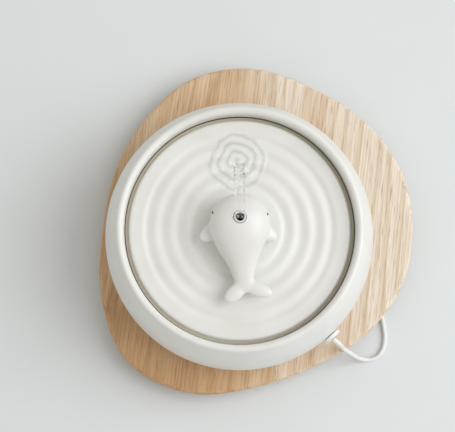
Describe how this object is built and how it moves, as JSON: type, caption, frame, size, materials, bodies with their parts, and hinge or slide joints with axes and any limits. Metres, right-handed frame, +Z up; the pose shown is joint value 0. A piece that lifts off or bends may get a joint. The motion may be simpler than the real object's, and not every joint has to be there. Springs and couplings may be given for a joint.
{
  "type": "table fountain with submersible pump",
  "caption": "Ceramic bowl on a wooden board, with a rippled plate, a hollow whale spout and a small submersible pump that lifts the bowl's water through it.",
  "frame": {"origin": "on the table, under the centre of the board's outline", "axes": "+Z up, +Y from the whale's tail to its head, +X to the whale's right side seen from above"},
  "size_m": [0.2544, 0.2674, 0.1254],
  "materials": {
    "glazed_ceramic": "satin white glaze",
    "oiled_ash": "oiled",
    "black_rubber": "moulded",
    "steel": "bright",
    "white_abs": "moulded",
    "white_cord": "extruded PVC",
    "white_silicone": "moulded",
    "clear_tube": "clear PVC",
    "pump_plastic": "moulded",
    "copper": "enamelled wire",
    "lamination": "stamped",
    "ferrite": "sintered",
    "circuit_board": "laminate",
    "foam": "open cell"
  },
  "bodies": {
    "root": {"board": "oiled_ash", "foot_1": "black_rubber", "foot_2": "black_rubber", "foot_3": "black_rubber", "foot_4": "black_rubber", "foot_screw_1": "steel", "foot_screw_2": "steel", "foot_screw_3": "steel", "foot_screw_4": "steel", "bowl": "glazed_ceramic", "plate_stand": "white_abs", "gland_body": "white_abs", "gland_washer": "black_rubber", "gland_nut": "pump_plastic", "inner_lead": "white_cord", "pump_housing": "pump_plastic", "stator_core": "lamination", "coil_left": "copper", "coil_right": "copper", "control_board": "circuit_board", "back_cover": "pump_plastic", "shaft": "steel", "rear_bush": "black_rubber", "front_bush": "black_rubber", "chamber_seal": "black_rubber", "volute_cover": "pump_plastic", "suction_cup_1": "black_rubber", "suction_cup_2": "black_rubber", "suction_cup_3": "black_rubber", "suction_cup_4": "black_rubber", "outlet_hose": "clear_tube", "cord_run": "white_cord", "cord_coil": "white_cord", "cord_tail": "white_cord", "cord_tie": "black_rubber", "plug_body": "white_abs", "plug_shell": "steel", "plug_insert": "pump_plastic"},
    "plate": {"ripple_plate": "glazed_ceramic", "plate_grommet": "white_silicone", "plate_pad_1": "white_silicone", "plate_pad_2": "white_silicone", "plate_pad_3": "white_silicone", "whale": "glazed_ceramic"},
    "rotor": {"rotor_magnet": "ferrite", "impeller": "white_abs"},
    "strainer": {"intake_cover": "pump_plastic", "prefilter_foam": "foam"},
    "regulator": {"flow_slider": "white_abs"}
  },
  "joints": [
    {"name": "plate_lift", "type": "slide", "parent": "root", "child": "plate", "axis": [0, 0, 1], "range_m": [0, 0.08]},
    {"name": "rotor_spin", "type": "hinge", "parent": "root", "child": "rotor", "pos_m": [-0.0142, -0.0101, 0.056], "axis": [0, 1, 0], "continuous": true},
    {"name": "strainer_pull", "type": "slide", "parent": "root", "child": "strainer", "axis": [0, 1, 0], "range_m": [0, 0.018]},
    {"name": "flow_regulator", "type": "slide", "parent": "strainer", "child": "regulator", "axis": [1, 0, 0], "range_m": [0, 0.014]}
  ]
}
